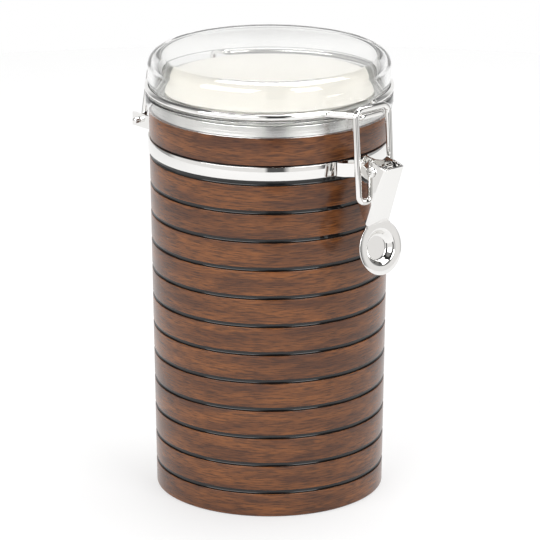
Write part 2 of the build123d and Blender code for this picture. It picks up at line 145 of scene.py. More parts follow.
@dataclass(frozen=True)
class Finish:
    """A surface finish: one principled shader with a procedural texture."""

    name: str
    roughness: float
    ior: float = 1.5

    def material(self) -> bpy.types.Material:
        """Return the finish's material, made at its first use."""
        known = bpy.data.materials.get(self.name)
        if known:
            return known
        made = bpy.data.materials.new(self.name)
        made.use_nodes = True
        shader = made.node_tree.nodes["Principled BSDF"]
        shader.inputs["Roughness"].default_value = self.roughness
        shader.inputs["IOR"].default_value = self.ior
        self.paint(made.node_tree, shader)
        return made

    def paint(self, tree: bpy.types.NodeTree, shader: bpy.types.Node) -> None:
        """Add the finish's own nodes; each finish gives its own."""

    def noise(
        self, tree: bpy.types.NodeTree, along_mm: float, up_mm: float, detail: float
    ) -> bpy.types.Node:
        """Noise whose features have real sizes.

        Args:
            tree: Node tree of the material.
            along_mm: Feature size across the object, in millimetres.
            up_mm: Feature size up the object, in millimetres.
            detail: Octaves of finer noise.

        Returns:
            The noise node.
        """
        place = add_node(tree, "ShaderNodeTexCoord")
        scale = (per_metre(along_mm), per_metre(along_mm), per_metre(up_mm))
        mapped = add_node(
            tree, "ShaderNodeMapping", {"Scale": scale}, {"Vector": place.outputs["Object"]}
        )
        return add_node(
            tree,
            "ShaderNodeTexNoise",
            {"Scale": 1.0, "Detail": detail, "Roughness": OCTAVE_SHARE},
            {"Vector": mapped.outputs["Vector"]},
        )

    def blend(
        self,
        tree: bpy.types.NodeTree,
        pattern: bpy.types.Node,
        colours: tuple[str, str],
        ends: Pair = (0.3, 0.7),
    ) -> bpy.types.Node:
        """Turn a noise into a blend of two colours.

        Args:
            tree: Node tree of the material.
            pattern: Noise node.
            colours: Hex colours at the low and the high end.
            ends: Noise values at which the blend starts and ends.

        Returns:
            The colour ramp.
        """
        stops = [(place, linear(colour)) for place, colour in zip(ends, colours)]
        return add_node(
            tree, "ShaderNodeValToRGB", {"stops": stops}, {"Fac": pattern.outputs[0]}
        )

    def bump(
        self,
        tree: bpy.types.NodeTree,
        shader: bpy.types.Node,
        height: bpy.types.Node,
        depth_mm: float,
    ) -> None:
        """Raise a noise into the surface.

        Args:
            tree: Node tree of the material.
            shader: Principled shader that takes the normal.
            height: Noise node that gives the height.
            depth_mm: Height of the relief, in millimetres.
        """
        relief = add_node(
            tree,
            "ShaderNodeBump",
            {"Strength": BUMP_STRENGTH, "Distance": depth_mm * MM},
            {"Height": height.outputs[0]},
        )
        tree.links.new(relief.outputs["Normal"], shader.inputs["Normal"])


@dataclass(frozen=True)
class WalnutFoil(Finish):
    """Walnut-print foil under clear lacquer: short dark pores along the grain, satin shine."""

    pore: str = "#2A1810"
    heartwood: str = "#54301A"
    sapwood: str = "#7C4A24"
    pore_length_mm: float = 7.0
    pore_width_mm: float = 0.45  # real pores are finer, and would not show
    pore_detail: float = 4.0
    pore_range: Pair = (0.56, 0.38)  # noise values of clear wood and of the middle of a pore
    pore_cover: float = 0.75  # how much of a pore's colour covers the wood
    pore_depth_mm: float = 0.02
    figure_length_mm: float = 46.0
    figure_width_mm: float = 6.5
    figure_detail: float = 3.0
    figure_range: Pair = (0.36, 0.64)  # noise values of heartwood and of sapwood
    specular: float = 0.45  # the lacquer reflects slightly less than bare plastic

    def paint(self, tree: bpy.types.NodeTree, shader: bpy.types.Node) -> None:
        """Lay the pores over the broad figure, both running round the can."""
        pores = self.noise(tree, self.pore_length_mm, self.pore_width_mm, self.pore_detail)
        figure = self.noise(
            tree, self.figure_length_mm, self.figure_width_mm, self.figure_detail
        )
        wood = self.blend(tree, figure, (self.heartwood, self.sapwood), self.figure_range)
        clear, dark = self.pore_range
        share = add_node(
            tree,
            "ShaderNodeMapRange",
            {"From Min": clear, "From Max": dark, "To Min": 0.0, "To Max": self.pore_cover},
            {"Value": pores.outputs[0]},
        )
        mixed = add_node(
            tree,
            "ShaderNodeMix",
            {"data_type": "RGBA", MIX_TO: linear(self.pore)},
            {0: share.outputs[0], MIX_FROM: wood.outputs["Color"]},
        )
        tree.links.new(mixed.outputs[MIX_RESULT], shader.inputs["Base Color"])
        shader.inputs["Specular IOR Level"].default_value = self.specular
        self.bump(tree, shader, pores, self.pore_depth_mm)


@dataclass(frozen=True)
class BlackAbs(Finish):
    """Black moulded ABS with a polished skin: sharp grey reflections on near black."""

    dark: str = "#0A0A0B"
    lighter: str = "#141415"
    flow_length_mm: float = 20.0
    flow_width_mm: float = 8.0
    flow_detail: float = 2.0

    def paint(self, tree: bpy.types.NodeTree, shader: bpy.types.Node) -> None:
        """Vary the black a little, as mould flow does."""
        flow = self.noise(tree, self.flow_length_mm, self.flow_width_mm, self.flow_detail)
        ramp = self.blend(tree, flow, (self.dark, self.lighter))
        tree.links.new(ramp.outputs["Color"], shader.inputs["Base Color"])


@dataclass(frozen=True)
class Metal(Finish):
    """A metal whose gloss varies between more and less polished spots."""

    colour: str = "#E9E8E6"
    along_mm: float = 3.0
    up_mm: float = 3.0
    detail: float = 2.0
    gloss_range: Pair = (0.6, 1.5)  # least and most roughness, as shares of the mean

    def paint(self, tree: bpy.types.NodeTree, shader: bpy.types.Node) -> None:
        """Set the metal and vary its gloss."""
        shader.inputs["Base Color"].default_value = linear(self.colour)
        shader.inputs["Metallic"].default_value = 1.0
        polish = self.noise(tree, self.along_mm, self.up_mm, self.detail)
        least, most = (self.roughness * share for share in self.gloss_range)
        spread = add_node(
            tree,
            "ShaderNodeMapRange",
            {"To Min": least, "To Max": most},
            {"Value": polish.outputs[0]},
        )
        tree.links.new(spread.outputs[0], shader.inputs["Roughness"])


@dataclass(frozen=True)
class ChromePlate(Metal):
    """Bright chrome plate on steel: a mirror that is only slightly softened by polishing."""


@dataclass(frozen=True)
class BareSteel(Metal):
    """Bare polished steel at the can's neck: pale satin metal behind the clear skirt."""

    colour: str = "#DEDEDD"
    along_mm: float = 60.0
    up_mm: float = 0.6  # polishing lines round the can, drawn coarser than real ones
    detail: float = 1.0
    gloss_range: Pair = (0.8, 1.3)


@dataclass(frozen=True)
class ClearAcrylic(Finish):
    """Clear moulded acrylic: bright, with thin dark lines where its edges bend the light."""

    tint: str = "#FCFCFB"
    wave_mm: float = 25.0
    wave_detail: float = 1.0
    wave_depth_mm: float = 0.01

    def paint(self, tree: bpy.types.NodeTree, shader: bpy.types.Node) -> None:
        """Make it transmit, with the faint waves that moulding leaves."""
        shader.inputs["Base Color"].default_value = linear(self.tint)
        shader.inputs["Transmission Weight"].default_value = 1.0
        waves = self.noise(tree, self.wave_mm, self.wave_mm, self.wave_detail)
        self.bump(tree, shader, waves, self.wave_depth_mm)


@dataclass(frozen=True)
class MouldedPlastic(Finish):
    """A moulded or cured part of one pale colour, with a fine grain from its mould."""

    pale: str = "#F7F4EC"
    shade: str = "#F1EDE3"
    grain_mm: float = 0.9
    grain_detail: float = 3.0
    grain_depth_mm: float = 0.01

    def paint(self, tree: bpy.types.NodeTree, shader: bpy.types.Node) -> None:
        """Vary the colour slightly and raise the mould's grain."""
        grain = self.noise(tree, self.grain_mm, self.grain_mm, self.grain_detail)
        ramp = self.blend(tree, grain, (self.shade, self.pale))
        tree.links.new(ramp.outputs["Color"], shader.inputs["Base Color"])
        self.bump(tree, shader, grain, self.grain_depth_mm)


WALNUT_FOIL = WalnutFoil("walnut_print_foil", roughness=0.24)
BLACK_ABS = BlackAbs("black_polished_abs", roughness=0.10)
NECK_STEEL = BareSteel("bare_polished_steel", roughness=0.22)
CHROME = ChromePlate("bright_chrome_plate", roughness=0.04)
ACRYLIC = ClearAcrylic("clear_moulded_acrylic", roughness=0.0, ior=1.49)
CREAM_POLYPROPYLENE = MouldedPlastic("cream_polypropylene", roughness=0.35)
SILICONE = MouldedPlastic(
    "translucent_white_silicone", roughness=0.5, ior=1.41, pale="#ECECE8", shade="#E2E2DD"
)


def make_mesh(
    name: str, points: Sequence[Vector], faces: Faces, sharp_deg: float = SHARP_DEG
) -> bpy.types.Object:
    """Make a smooth-shaded mesh object whose steeper edges stay sharp.

    Args:
        name: Name of the piece.
        points: Vertices, in metres.
        faces: Vertex numbers of each face.
        sharp_deg: Angle between faces above which an edge is sharp.

    Returns:
        The new object, linked to the scene.
    """
    mesh = bpy.data.meshes.new(name)
    mesh.from_pydata([tuple(p) for p in points], [], [tuple(f) for f in faces])
    shape = bmesh.new()
    shape.from_mesh(mesh)
    bmesh.ops.recalc_face_normals(shape, faces=shape.faces)
    shape.to_mesh(mesh)
    shape.free()
    mesh.shade_smooth()
    mesh.set_sharp_from_angle(angle=radians(sharp_deg))
    made = bpy.data.objects.new(name, mesh)
    bpy.context.scene.collection.objects.link(made)
    return made


def lathe(
    name: str, profile: Sequence[Pair], segments: int = ROUND_STEPS
) -> bpy.types.Object:
    """Turn a closed profile round the can's axis.

    Args:
        name: Name of the piece.
        profile: Radius and height of each corner, in millimetres.
        segments: Steps round the axis.

    Returns:
        The turned object.
    """
    points: list[Vector] = []
    rings: list[list[int]] = []
    for radius, height in profile:
        first = len(points)
        count = 1 if radius == 0 else segments
        for step in range(count):
            turn = 2 * pi * step / segments
            points.append(Vector((radius * cos(turn), radius * sin(turn), height)) * MM)
        rings.append([first + step % count for step in range(segments)])
    faces = []
    for here, following in zip(rings, rings[1:] + rings[:1]):
        for step in range(segments):
            after = (step + 1) % segments
            corners = (here[step], here[after], following[after], following[step])
            apart = list(dict.fromkeys(corners))
            if len(apart) > 2:
                faces.append(apart)
    return make_mesh(name, points, faces)


def arc(
    centre: Pair, radius: float, start_deg: float, end_deg: float, steps: int
) -> list[Pair]:
    """Points of an arc in a profile, from one angle to another."""
    sweep = end_deg - start_deg
    angles = [radians(start_deg + sweep * step / steps) for step in range(steps + 1)]
    return [(centre[0] + radius * cos(a), centre[1] + radius * sin(a)) for a in angles]


def swing(
    centre: Vector, start: Vector, end: Vector, steps: int = BEND_STEPS
) -> list[Vector]:
    """Points of an arc in space.

    Args:
        centre: Middle of the arc.
        start: First point of the arc.
        end: Last point of the arc, as far from the middle as the first.
        steps: Steps in the arc.

    Returns:
        The arc's points, with both ends.
    """
    first, last = start - centre, end - centre
    whole = first.angle(last)
    line = []
    for step in range(steps + 1):
        share = step / steps
        spot = first * sin(whole * (1 - share)) + last * sin(whole * share)
        line.append(centre + spot / sin(whole))
    return line


def rounded(
    points: Sequence[Vector], radii: Sequence[float], steps: int = BEND_STEPS
) -> list[Vector]:
    """Round the corners of a wire's path.

    Args:
        points: Corners of the path, with its two ends.
        radii: Bend radius at each corner between the ends.
        steps: Steps in each bend.

    Returns:
        The path's points.
    """
    line = [points[0]]
    for before, corner, after, radius in zip(points, points[1:], points[2:], radii):
        back = (before - corner).normalized()
        ahead = (after - corner).normalized()
        half = back.angle(ahead) / 2
        centre = corner + (back + ahead).normalized() * (radius / sin(half))
        start = corner + back * (radius / tan(half))
        end = corner + ahead * (radius / tan(half))
        line += swing(centre, start, end, steps)
    return line + [points[-1]]


def tube(
    name: str, path: Sequence[Vector], radius: float, sides: int = WIRE_SIDES
) -> bpy.types.Object:
    """Sweep a round wire along a path, with slightly rounded ends.

    Args:
        name: Name of the piece.
        path: Points of the wire's middle, in millimetres.
        radius: Radius of the wire, in millimetres.
        sides: Corners of the wire's section.

    Returns:
        The wire.
    """
    line = [path[0]]
    line += [b for a, b in zip(path, path[1:]) if (b - a).length > SAME_POINT_MM]
    tangents = [(b - a).normalized() for a, b in zip(line, line[1:])]
    ways = [tangents[0]]
    ways += [(a + b).normalized() for a, b in zip(tangents, tangents[1:])]
    ways.append(tangents[-1])
    end_round = radius * WIRE_END_ROUND
    stations = [(line[0], ways[0], radius - end_round)]
    stations.append((line[0] + ways[0] * end_round, ways[0], radius))
    stations += [(place, way, radius) for place, way in zip(line[1:-1], ways[1:-1])]
    stations.append((line[-1] - ways[-1] * end_round, ways[-1], radius))
    stations.append((line[-1], ways[-1], radius - end_round))
    side = ways[0].orthogonal().normalized()
    points: list[Vector] = []
    for place, way, size in stations:
        side = (side - way * side.dot(way)).normalized()
        up = way.cross(side)
        for step in range(sides):
            turn = 2 * pi * step / sides
            points.append((place + (side * cos(turn) + up * sin(turn)) * size) * MM)
    faces = [list(range(sides)), list(range(len(points) - sides, len(points)))]
    for ring in range(len(stations) - 1):
        for step in range(sides):
            after = (step + 1) % sides
            low, high = ring * sides, (ring + 1) * sides
            faces.append([low + step, low + after, high + after, high + step])
    return make_mesh(name, points, faces, WIRE_SHARP_DEG)


def fit(
    piece: bpy.types.Object, finish: Finish, body: Body, slot: str, *nodes: str
) -> bpy.types.Object:
    """Dress a piece and tie it to the frame.

    Args:
        piece: The piece to dress.
        finish: Its finish.
        body: Body that it moves with.
        slot: Material slot of the record; not used.
        nodes: CAD nodes that the piece stands for.

    Returns:
        The piece.
    """
    piece.data.materials.append(finish.material())
    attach(piece, body.value)
    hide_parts(*nodes)
    log.info("piece %s rides on %s", piece.name, body.value)
    return piece


def dress_node(name: str, finish: Finish) -> None:
    """Give a CAD node that keeps its own shape its finish."""
    node = frame["nodes"][name]
    node.data.materials.clear()
    node.data.materials.append(finish.material())
    log.info("node %s keeps its shape", name)


def box_mm(node: str) -> tuple[Vector, Vector]:
    """Lowest and highest corner of a CAD node, in millimetres."""
    low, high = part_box(node)
    return low / MM, high / MM


def joint_place(name: str) -> Vector:
    """Place of a joint of the frame, in millimetres."""
    joint = next(j for j in frame["joints"] if j["name"] == name)
    return Vector(joint["pos_m"]) / MM


@dataclass
class Can:
    """The black shell with its wood bands and its floor."""

    band_count: int = 13
    band_proud: float = 1.0
    band_edge: float = 0.35  # rounding of the bands' edges
    skin_gap: float = 0.02
    wall: float = 1.2
    groove_fillet: float = 0.8  # rounding at the foot of each groove, which catches the light
    fillet_turns: Sequence[int] = (15, 30, 45, 60, 75, 90)  # degrees along each fillet
    rim_round: float = 0.45
    seat_slope: float = 0.6  # the slope into the strap's seat starts this far below the strap
    seat_margin: float = 0.1
    edge_steps: int = 5

    def __post_init__(self) -> None:
        """Read the bands' heights and the draft of the body from the frame."""
        boxes = [box_mm(self.band(number)) for number in range(1, self.band_count + 1)]
        self.lows = [low.z for low, _ in boxes]
        self.highs = [high.z for _, high in boxes]
        self.draft = (boxes[-1][1].x - boxes[0][1].x) / (self.highs[-1] - self.highs[0])
        self.foot_radius = boxes[0][1].x - self.draft * self.highs[0]

    def band(self, number: int) -> str:
        """Node name of a band."""
        return f"wood_band_{number:02d}"

    def outside(self, height: float) -> float:
        """Outside radius of the bands at a height."""
        return self.foot_radius + self.draft * height

    def inside(self, height: float) -> float:
        """Outside radius of the shell at a height."""
        return self.outside(height) - self.band_proud

    def build_bands(self) -> None:
        """Turn each wood band, with its edges rounded."""
        edge, steps = self.band_edge, self.edge_steps
        for number, (low, high) in enumerate(zip(self.lows, self.highs), start=1):
            profile = [(self.inside(low) + self.skin_gap, low)]
            profile += arc((self.outside(low) - edge, low + edge), edge, -90, 0, steps)
            profile += arc((self.outside(high) - edge, high - edge), edge, 0, 90, steps)
            profile.append((self.inside(high) + self.skin_gap, high))
            piece = lathe(f"foil_band_{number:02d}", profile)
            fit(piece, WALNUT_FOIL, Body.CAN, "walnut_foil", self.band(number))

    def groove_foot(self, height: float) -> list[Pair]:
        """Points of the fillet at the foot of a groove, from the band up to the shell."""
        radius, size = self.inside(height), self.groove_fillet
        points = [(radius, height - size), (radius + size, height)]
        for turn in self.fillet_turns:
            across, up = size * sin(radians(turn)), size * cos(radians(turn))
            points.append((radius + size - across, height + size - up))
        return points

    def build_shell(self) -> None:
        """Turn the shell, with the fillets, the strap's seat and the neck."""
        rim = box_mm("can_shell")[1].z
        strap_low, strap_high = box_mm("clamp_strap")
        seat = box_mm("can_shell")[1].x
        profile = [(self.inside(0) - self.wall, 0.0), (self.inside(0), 0.0)]
        for high in self.highs[:-1]:
            profile += self.groove_foot(high)
        profile.append((self.inside(self.highs[-2]), strap_low.z - self.seat_slope))
        profile.append((seat, strap_low.z - self.seat_margin))
        profile.append((seat, strap_high.z + self.seat_margin))
        profile.append((self.inside(self.lows[-1]), self.lows[-1]))
        neck = self.highs[-1] - self.wall
        profile.append((self.inside(neck), neck))
        outer, inner = self.inside(rim), self.inside(rim) - self.wall
        edge, steps = self.rim_round, self.edge_steps
        profile += arc((outer - edge, rim - edge), edge, 0, 90, steps)
        profile += arc((inner + edge, rim - edge), edge, 90, 180, steps)
        piece = lathe("polished_shell", profile)
        fit(piece, BLACK_ABS, Body.CAN, "black_gloss", "can_shell")
        piece.data.materials.append(NECK_STEEL.material())
        for face in piece.data.polygons:
            face.material_index = int(face.center.z > neck * MM)

    def build(self) -> None:
        """Build the whole can."""
        self.build_shell()
        self.build_bands()
        dress_node("base_pan", BLACK_ABS)


@dataclass
class StrapSet:
    """The clamp strap with its two brackets and their rivets."""

    edge: float = 0.25  # rounding of the strap's edges
    thickness: float = 1.0
    split: float = 5.0
    edge_steps: int = 4
    plain_nodes: Sequence[str] = (
        "latch_bracket",
        "latch_plate_rivets",
        "hinge_bracket",
        "hinge_plate_rivets",
        "lever_pivot_rivet",
    )

    def build_strap(self) -> None:
        """Bend the strap round its seat, split behind the latch plate."""
        low, high = box_mm("clamp_strap")
        outer = high.y
        inner = outer - self.thickness
        edge = self.edge
        section = [(inner, low.z)]
        section += arc((outer - edge, low.z + edge), edge, -90, 0, self.edge_steps)
        section += arc((outer - edge, high.z - edge), edge, 0, 90, self.edge_steps)
        section.append((inner, high.z))
        half = asin(self.split / 2 / outer)
        points: list[Vector] = []
        for step in range(ROUND_STEPS + 1):
            turn = -pi / 2 + half + (2 * pi - 2 * half) * step / ROUND_STEPS
            points += [Vector((r * cos(turn), r * sin(turn), z)) * MM for r, z in section]
        size = len(section)
        faces = [list(range(size)), list(range(len(points) - size, len(points)))]
        for step in range(ROUND_STEPS):
            for side in range(size):
                after = (side + 1) % size
                here, ahead = step * size, (step + 1) * size
                faces.append([here + side, here + after, ahead + after, ahead + side])
        piece = make_mesh("polished_strap", points, faces)
        fit(piece, CHROME, Body.CAN, "chrome", "clamp_strap")

    def build(self) -> None:
        """Build the strap and dress its fittings."""
        self.build_strap()
        for node in self.plain_nodes:
            dress_node(node, CHROME)


@dataclass
class Lid:
    """The clear lid with its liner, gasket and wire."""

    skirt_wall: float = 1.2
    skirt_step: float = 0.25
    skirt_step_height: float = 1.5
    skirt_depth: float = 6.9
    flange: float = 2.1
    bore: float = 48.5
    lip: float = 0.6
    lip_chamfer: float = 0.8
    groove_floor: float = 57.8
    groove_height: float = 5.2
    wall_radius: float = 59.6
    wall: float = 2.4
    wall_chamfer: float = 0.4
    shoulder: float = 6.0
    top: float = 2.6
    wire_radius: float = 1.6
    nose_half: float = 6.5
    nose_flare_deg: float = 30.0
    nose_bend: float = 3.0
    wire_bend: float = 4.0
    leg_half: float = 20.5
    leg_corner_y: float = 65.5
    leg_bend: float = 3.5
    leg_foot_bend: float = 2.2
    hinge_stub: float = 3.2  # the wire ends this far outside the hinge bracket
    dome_steps: int = 320
    ring_steps: int = 90
    lip_steps: int = 5
    chamfer_steps: int = 4
    shoulder_steps: int = 14
    cavity_steps: int = 10

    def build_dome(self) -> None:
        """Turn the clear lid: skirt, wire groove, wall, shoulder and top over a hollow."""
        low, high = box_mm("lid_dome")
        outer = high.x
        base = low.z + self.skirt_depth
        inner = outer - self.skirt_wall
        step, rise = self.skirt_step, self.skirt_step_height
        groove = base + self.lip
        cavity = self.groove_floor - self.wall
        ceiling = high.z - self.top
        cavity_round = self.shoulder - self.wall
        lip, edge, turn = self.lip_chamfer, self.wall_chamfer, self.shoulder
        wall_foot = groove + self.groove_height
        profile = [(self.bore, base), (inner, base), (inner, low.z)]
        profile += [(outer - 2 * step, low.z), (outer - 2 * step, low.z + rise)]
        profile += [(outer - step, low.z + rise), (outer - step, low.z + 2 * rise)]
        profile.append((outer, low.z + 2 * rise))
        profile += arc((outer - lip, groove - lip), lip, 0, 90, self.lip_steps)
        profile += [(self.groove_floor, groove), (self.groove_floor, wall_foot)]
        profile += arc(
            (self.wall_radius - edge, wall_foot + edge), edge, -90, 0, self.chamfer_steps
        )
        profile += arc(
            (self.wall_radius - turn, high.z - turn), turn, 0, 90, self.shoulder_steps
        )
        profile += [(0.0, high.z), (0.0, ceiling)]
        profile += arc(
            (cavity - cavity_round, ceiling - cavity_round),
            cavity_round,
            90,
            0,
            self.cavity_steps,
        )
        profile += [(cavity, base + self.flange), (self.bore, base + self.flange)]
        piece = lathe("clear_dome", profile, self.dome_steps)
        fit(piece, ACRYLIC, Body.LID, "clear_acrylic", "lid_dome")

    def leave_ring(
        self, ring: float, half: float, reach: float, flare_deg: float
    ) -> tuple[float, Vector]:
        """Find where the wire leaves its ring.

        Args:
            ring: Radius of the ring.
            half: Distance from the middle at which the wire runs out.
            reach: How far out the wire runs.
            flare_deg: Lean of the wire outside its bend.

        Returns:
            The angle of leaving, and the end of the bend.
        """
        lean, bend = radians(flare_deg), self.wire_bend
        outer = ring + bend
        angle = asin((half * cos(lean) + reach * sin(lean) + bend) / outer) - lean
        end = Vector((outer * sin(angle), outer * cos(angle), 0))
        return angle, end - Vector((bend * cos(lean), bend * sin(lean), 0))

    def build_wire(self) -> None:
        """Bend the lid's wire: nose, ring and the two legs down to the hinge."""
        low, high = box_mm("lid_wire")
        ring = high.x - self.wire_radius
        level = high.z - self.wire_radius
        nose = -low.y - self.wire_radius
        hinge = joint_place("lid_hinge")
        end_x = box_mm("hinge_bracket")[1].x + self.hinge_stub
        front, front_end = self.leave_ring(ring, self.nose_half, nose, self.nose_flare_deg)
        rear, rear_end = self.leave_ring(ring, self.leg_half, hinge.y, 0.0)
        outer = ring + self.wire_bend
        half = rounded(
            [
                Vector((0, -nose, level)),
                Vector((self.nose_half, -nose, level)),
                Vector((front_end.x, -front_end.y, level)),
            ],
            [self.nose_bend],
        )
        middle = Vector((outer * sin(front), -outer * cos(front), level))
        leaving = Vector((ring * sin(front), -ring * cos(front), level))
        half += swing(middle, half[-1], leaving)[1:]
        sweep = pi - front - rear
        for step in range(1, self.ring_steps):
            turn = front + sweep * step / self.ring_steps
            half.append(Vector((ring * sin(turn), -ring * cos(turn), level)))
        middle = Vector((outer * sin(rear), outer * cos(rear), level))
        joining = Vector((ring * sin(rear), ring * cos(rear), level))
        half += swing(middle, joining, Vector((rear_end.x, rear_end.y, level)))
        half += rounded(
            [
                Vector((rear_end.x, rear_end.y, level)),
                Vector((self.leg_half, self.leg_corner_y, level)),
                Vector((self.leg_half, hinge.y, hinge.z)),
                Vector((end_x, hinge.y, hinge.z)),
            ],
            [self.leg_bend, self.leg_foot_bend],
        )[1:]
        mirrored = [Vector((-p.x, p.y, p.z)) for p in reversed(half[1:])]
        piece = tube("ring_wire", mirrored + half, self.wire_radius)
        fit(piece, CHROME, Body.LID, "chrome", "lid_wire")

    def build(self) -> None:
        """Build the whole lid."""
        self.build_dome()
        self.build_wire()
        dress_node("lid_liner", CREAM_POLYPROPYLENE)
        dress_node("gasket", SILICONE)


@dataclass
class Latch:
    """The stamped lever and the bail that it pulls."""

    wire_radius: float = 1.6
    bail_bend: float = 4.2
    bail_foot_bend: float = 3.1
    bail_end: float = 4.9
    sheet: float = 0.9
    fold_round: float = 1.2
    top_half: float = 6.5
    fold_half: float = 7.7
    tab_radius: float = 13.4
    tab_middle: float = 11.6
    tab_tilt_deg: float = 10.4
    tab_lap: float = 0.2
    dish_radius: float = 9.4
    dish_floor: float = 5.6
    dish_depth: float = 3.4
    floor_rings: Pair = (0.9, 0.3)  # rings this far inside the edge of the dish's floor
    wall_rings: Sequence[float] = (0.06, 0.2, 0.4, 0.6, 0.8, 0.94)  # shares of the wall's width
    rim_rings: Pair = (0.1, 0.8)  # rings this far outside the dish
    tab_steps: int = 96
    tab_top_deg: float = 35.0  # the tab's straight top spans at least this angle to each side
    fold_steps: int = 5
    edge_round: float = 0.12
    edge_steps: int = 2
    edge_deg: float = 50.0  # edges steeper than this are softened

    # Corners of the channel's side: how far out from the pivot, and how far above it
    face_top: Pair = (8.7, 2.4)
    face_fold: Pair = (-2.4, -27.7)
    flange_peak: Pair = (-2.2, 5.2)
    flange_shoulder: Pair = (-7.8, 0.5)
    flange_heel: Pair = (-7.8, -19.0)

    def half_width(self, height: float) -> float:
        """Half the channel's width at a height above its pivot."""
        share = (self.flange_peak[1] - height) / (self.flange_peak[1] - self.face_fold[1])
        return self.top_half + (self.fold_half - self.top_half) * share

    def corner(self, spot: Pair, side: int) -> Vector:
        """A corner of the channel on one side, in millimetres."""
        pivot = joint_place("lever_pivot")
        return Vector((side * self.half_width(spot[1]), pivot.y - spot[0], pivot.z + spot[1]))

    def tab_rings(self) -> list[Pair]:
        """Radius and depth of each ring of the tab, from the dish's middle outwards."""
        depth = self.dish_depth
        rings: list[Pair] = [(self.dish_floor - inset, depth) for inset in self.floor_rings]
        width = self.dish_radius - self.dish_floor
        for share in self.wall_rings:
            fall = depth * (0.5 + 0.5 * cos(pi * share))
            rings.append((self.dish_floor + width * share, fall))
        rings += [(self.dish_radius + outset, 0.0) for outset in self.rim_rings]
        return rings + [(self.tab_radius, 0.0)]

    def tab_reach(self, turn: float) -> float:
        """Distance from the tab's middle to its edge, which is straight at the fold."""
        if sin(turn) <= 0:
            return self.tab_radius
        top = self.tab_middle + self.tab_lap
        reach = min(top / sin(turn), self.fold_half / max(abs(cos(turn)), TINY))
        at_top = reach * sin(turn) > top - TINY
        near_top = abs(turn - pi / 2) < radians(self.tab_top_deg)
        return reach if at_top or near_top else self.tab_radius

    def tab_points(self) -> tuple[list[Vector], list[list[int]]]:
        """Shape the round tab with its dish.

        Returns:
            Vertices in millimetres, and faces.
        """
        pivot = joint_place("lever_pivot")
        lean = radians(self.tab_tilt_deg)
        up = Vector((0, sin(lean), cos(lean)))
        out = Vector((0, -cos(lean), sin(lean)))
        across = Vector((1, 0, 0))
        fold = Vector((0, pivot.y - self.face_fold[0], pivot.z + self.face_fold[1]))
        middle = fold - up * self.tab_middle
        steps = self.tab_steps
        points = [middle - out * self.dish_depth]
        for radius, depth in self.tab_rings():
            for step in range(steps):
                turn = 2 * pi * step / steps
                size = self.tab_reach(turn) if radius == self.tab_radius else radius
                flat = across * (size * cos(turn)) + up * (size * sin(turn))
                points.append(middle + flat - out * depth)
        faces = [[0, 1 + step, 1 + (step + 1) % steps] for step in range(steps)]
        for ring in range(len(self.tab_rings()) - 1):
            for step in range(steps):
                after = (step + 1) % steps
                low, high = 1 + ring * steps, 1 + (ring + 1) * steps
                faces.append([low + step, high + step, high + after, low + after])
        return points, faces

    def build_lever(self) -> None:
        """Fold the channel, join the tab and thicken both to the sheet."""
        spots = (
            self.face_top,
            self.flange_peak,
            self.flange_shoulder,
            self.flange_heel,
            self.face_fold,
        )
        shape = bmesh.new()
        left = [shape.verts.new(self.corner(spot, -1) * MM) for spot in spots]
        right = [shape.verts.new(self.corner(spot, 1) * MM) for spot in spots]
        shape.faces.new(left)
        shape.faces.new(list(reversed(right)))
        shape.faces.new((left[0], left[-1], right[-1], right[0]))
        folds = [e for e in shape.edges if len(e.link_faces) == 2]
        bmesh.ops.bevel(
            shape,
            geom=folds,
            offset=self.fold_round * MM,
            segments=self.fold_steps,
            profile=0.5,  # a round fold
            affect="EDGES",
        )
        points, faces = self.tab_points()
        corners = [shape.verts.new(p * MM) for p in points]
        for face in faces:
            shape.faces.new([corners[number] for number in face])
        mesh = bpy.data.meshes.new("stamped_lever")
        shape.to_mesh(mesh)
        shape.free()
        mesh.shade_smooth()
        mesh.set_sharp_from_angle(angle=radians(SHARP_DEG))
        piece = bpy.data.objects.new("stamped_lever", mesh)
        bpy.context.scene.collection.objects.link(piece)
        thicken = piece.modifiers.new("sheet", "SOLIDIFY")
        thicken.thickness = self.sheet * MM
        thicken.offset = -1.0
        soften = piece.modifiers.new("edges", "BEVEL")
        soften.width = self.edge_round * MM
        soften.segments = self.edge_steps
        soften.limit_method = "ANGLE"
        soften.angle_limit = radians(self.edge_deg)
        fit(piece, CHROME, Body.LEVER, "chrome", "lever")

    def build_bail(self) -> None:
        """Bend the bail from the lever's flanges up over the nose."""
        high = box_mm("bail")[1]
        half = high.x - self.wire_radius
        nose = box_mm("lid_wire")[0].y + self.wire_radius
        hook = Vector((0, nose, high.z - self.wire_radius))
        pivot = joint_place("bail_swing")
        side = rounded(
            [
                hook,
                Vector((half, hook.y, hook.z)),
                Vector((half, pivot.y, pivot.z)),
                Vector((self.bail_end, pivot.y, pivot.z)),
            ],
            [self.bail_bend, self.bail_foot_bend],
        )
        mirrored = [Vector((-p.x, p.y, p.z)) for p in reversed(side[1:])]
        piece = tube("wire_bail", mirrored + side, self.wire_radius)
        fit(piece, CHROME, Body.BAIL, "chrome", "bail")

    def build(self) -> None:
        """Build the lever and the bail."""
        self.build_lever()
        self.build_bail()


class Tone(Enum):
    """Tones of the panels round the can."""

    DARK = "#5A5A5A"
    GREY = "#A4A4A4"
    BRIGHT = "#F6F5F4"
    WHITE = "#FFFFFF"


@dataclass(frozen=True)
class Softbox:
    """One soft light, placed by its angle from the camera."""

    name: str
    round_deg: float  # positive to the camera's right
    up_deg: float
    size: Pair  # width and height, in metres
    watts: float


Panels = Sequence[tuple[float, Tone]]


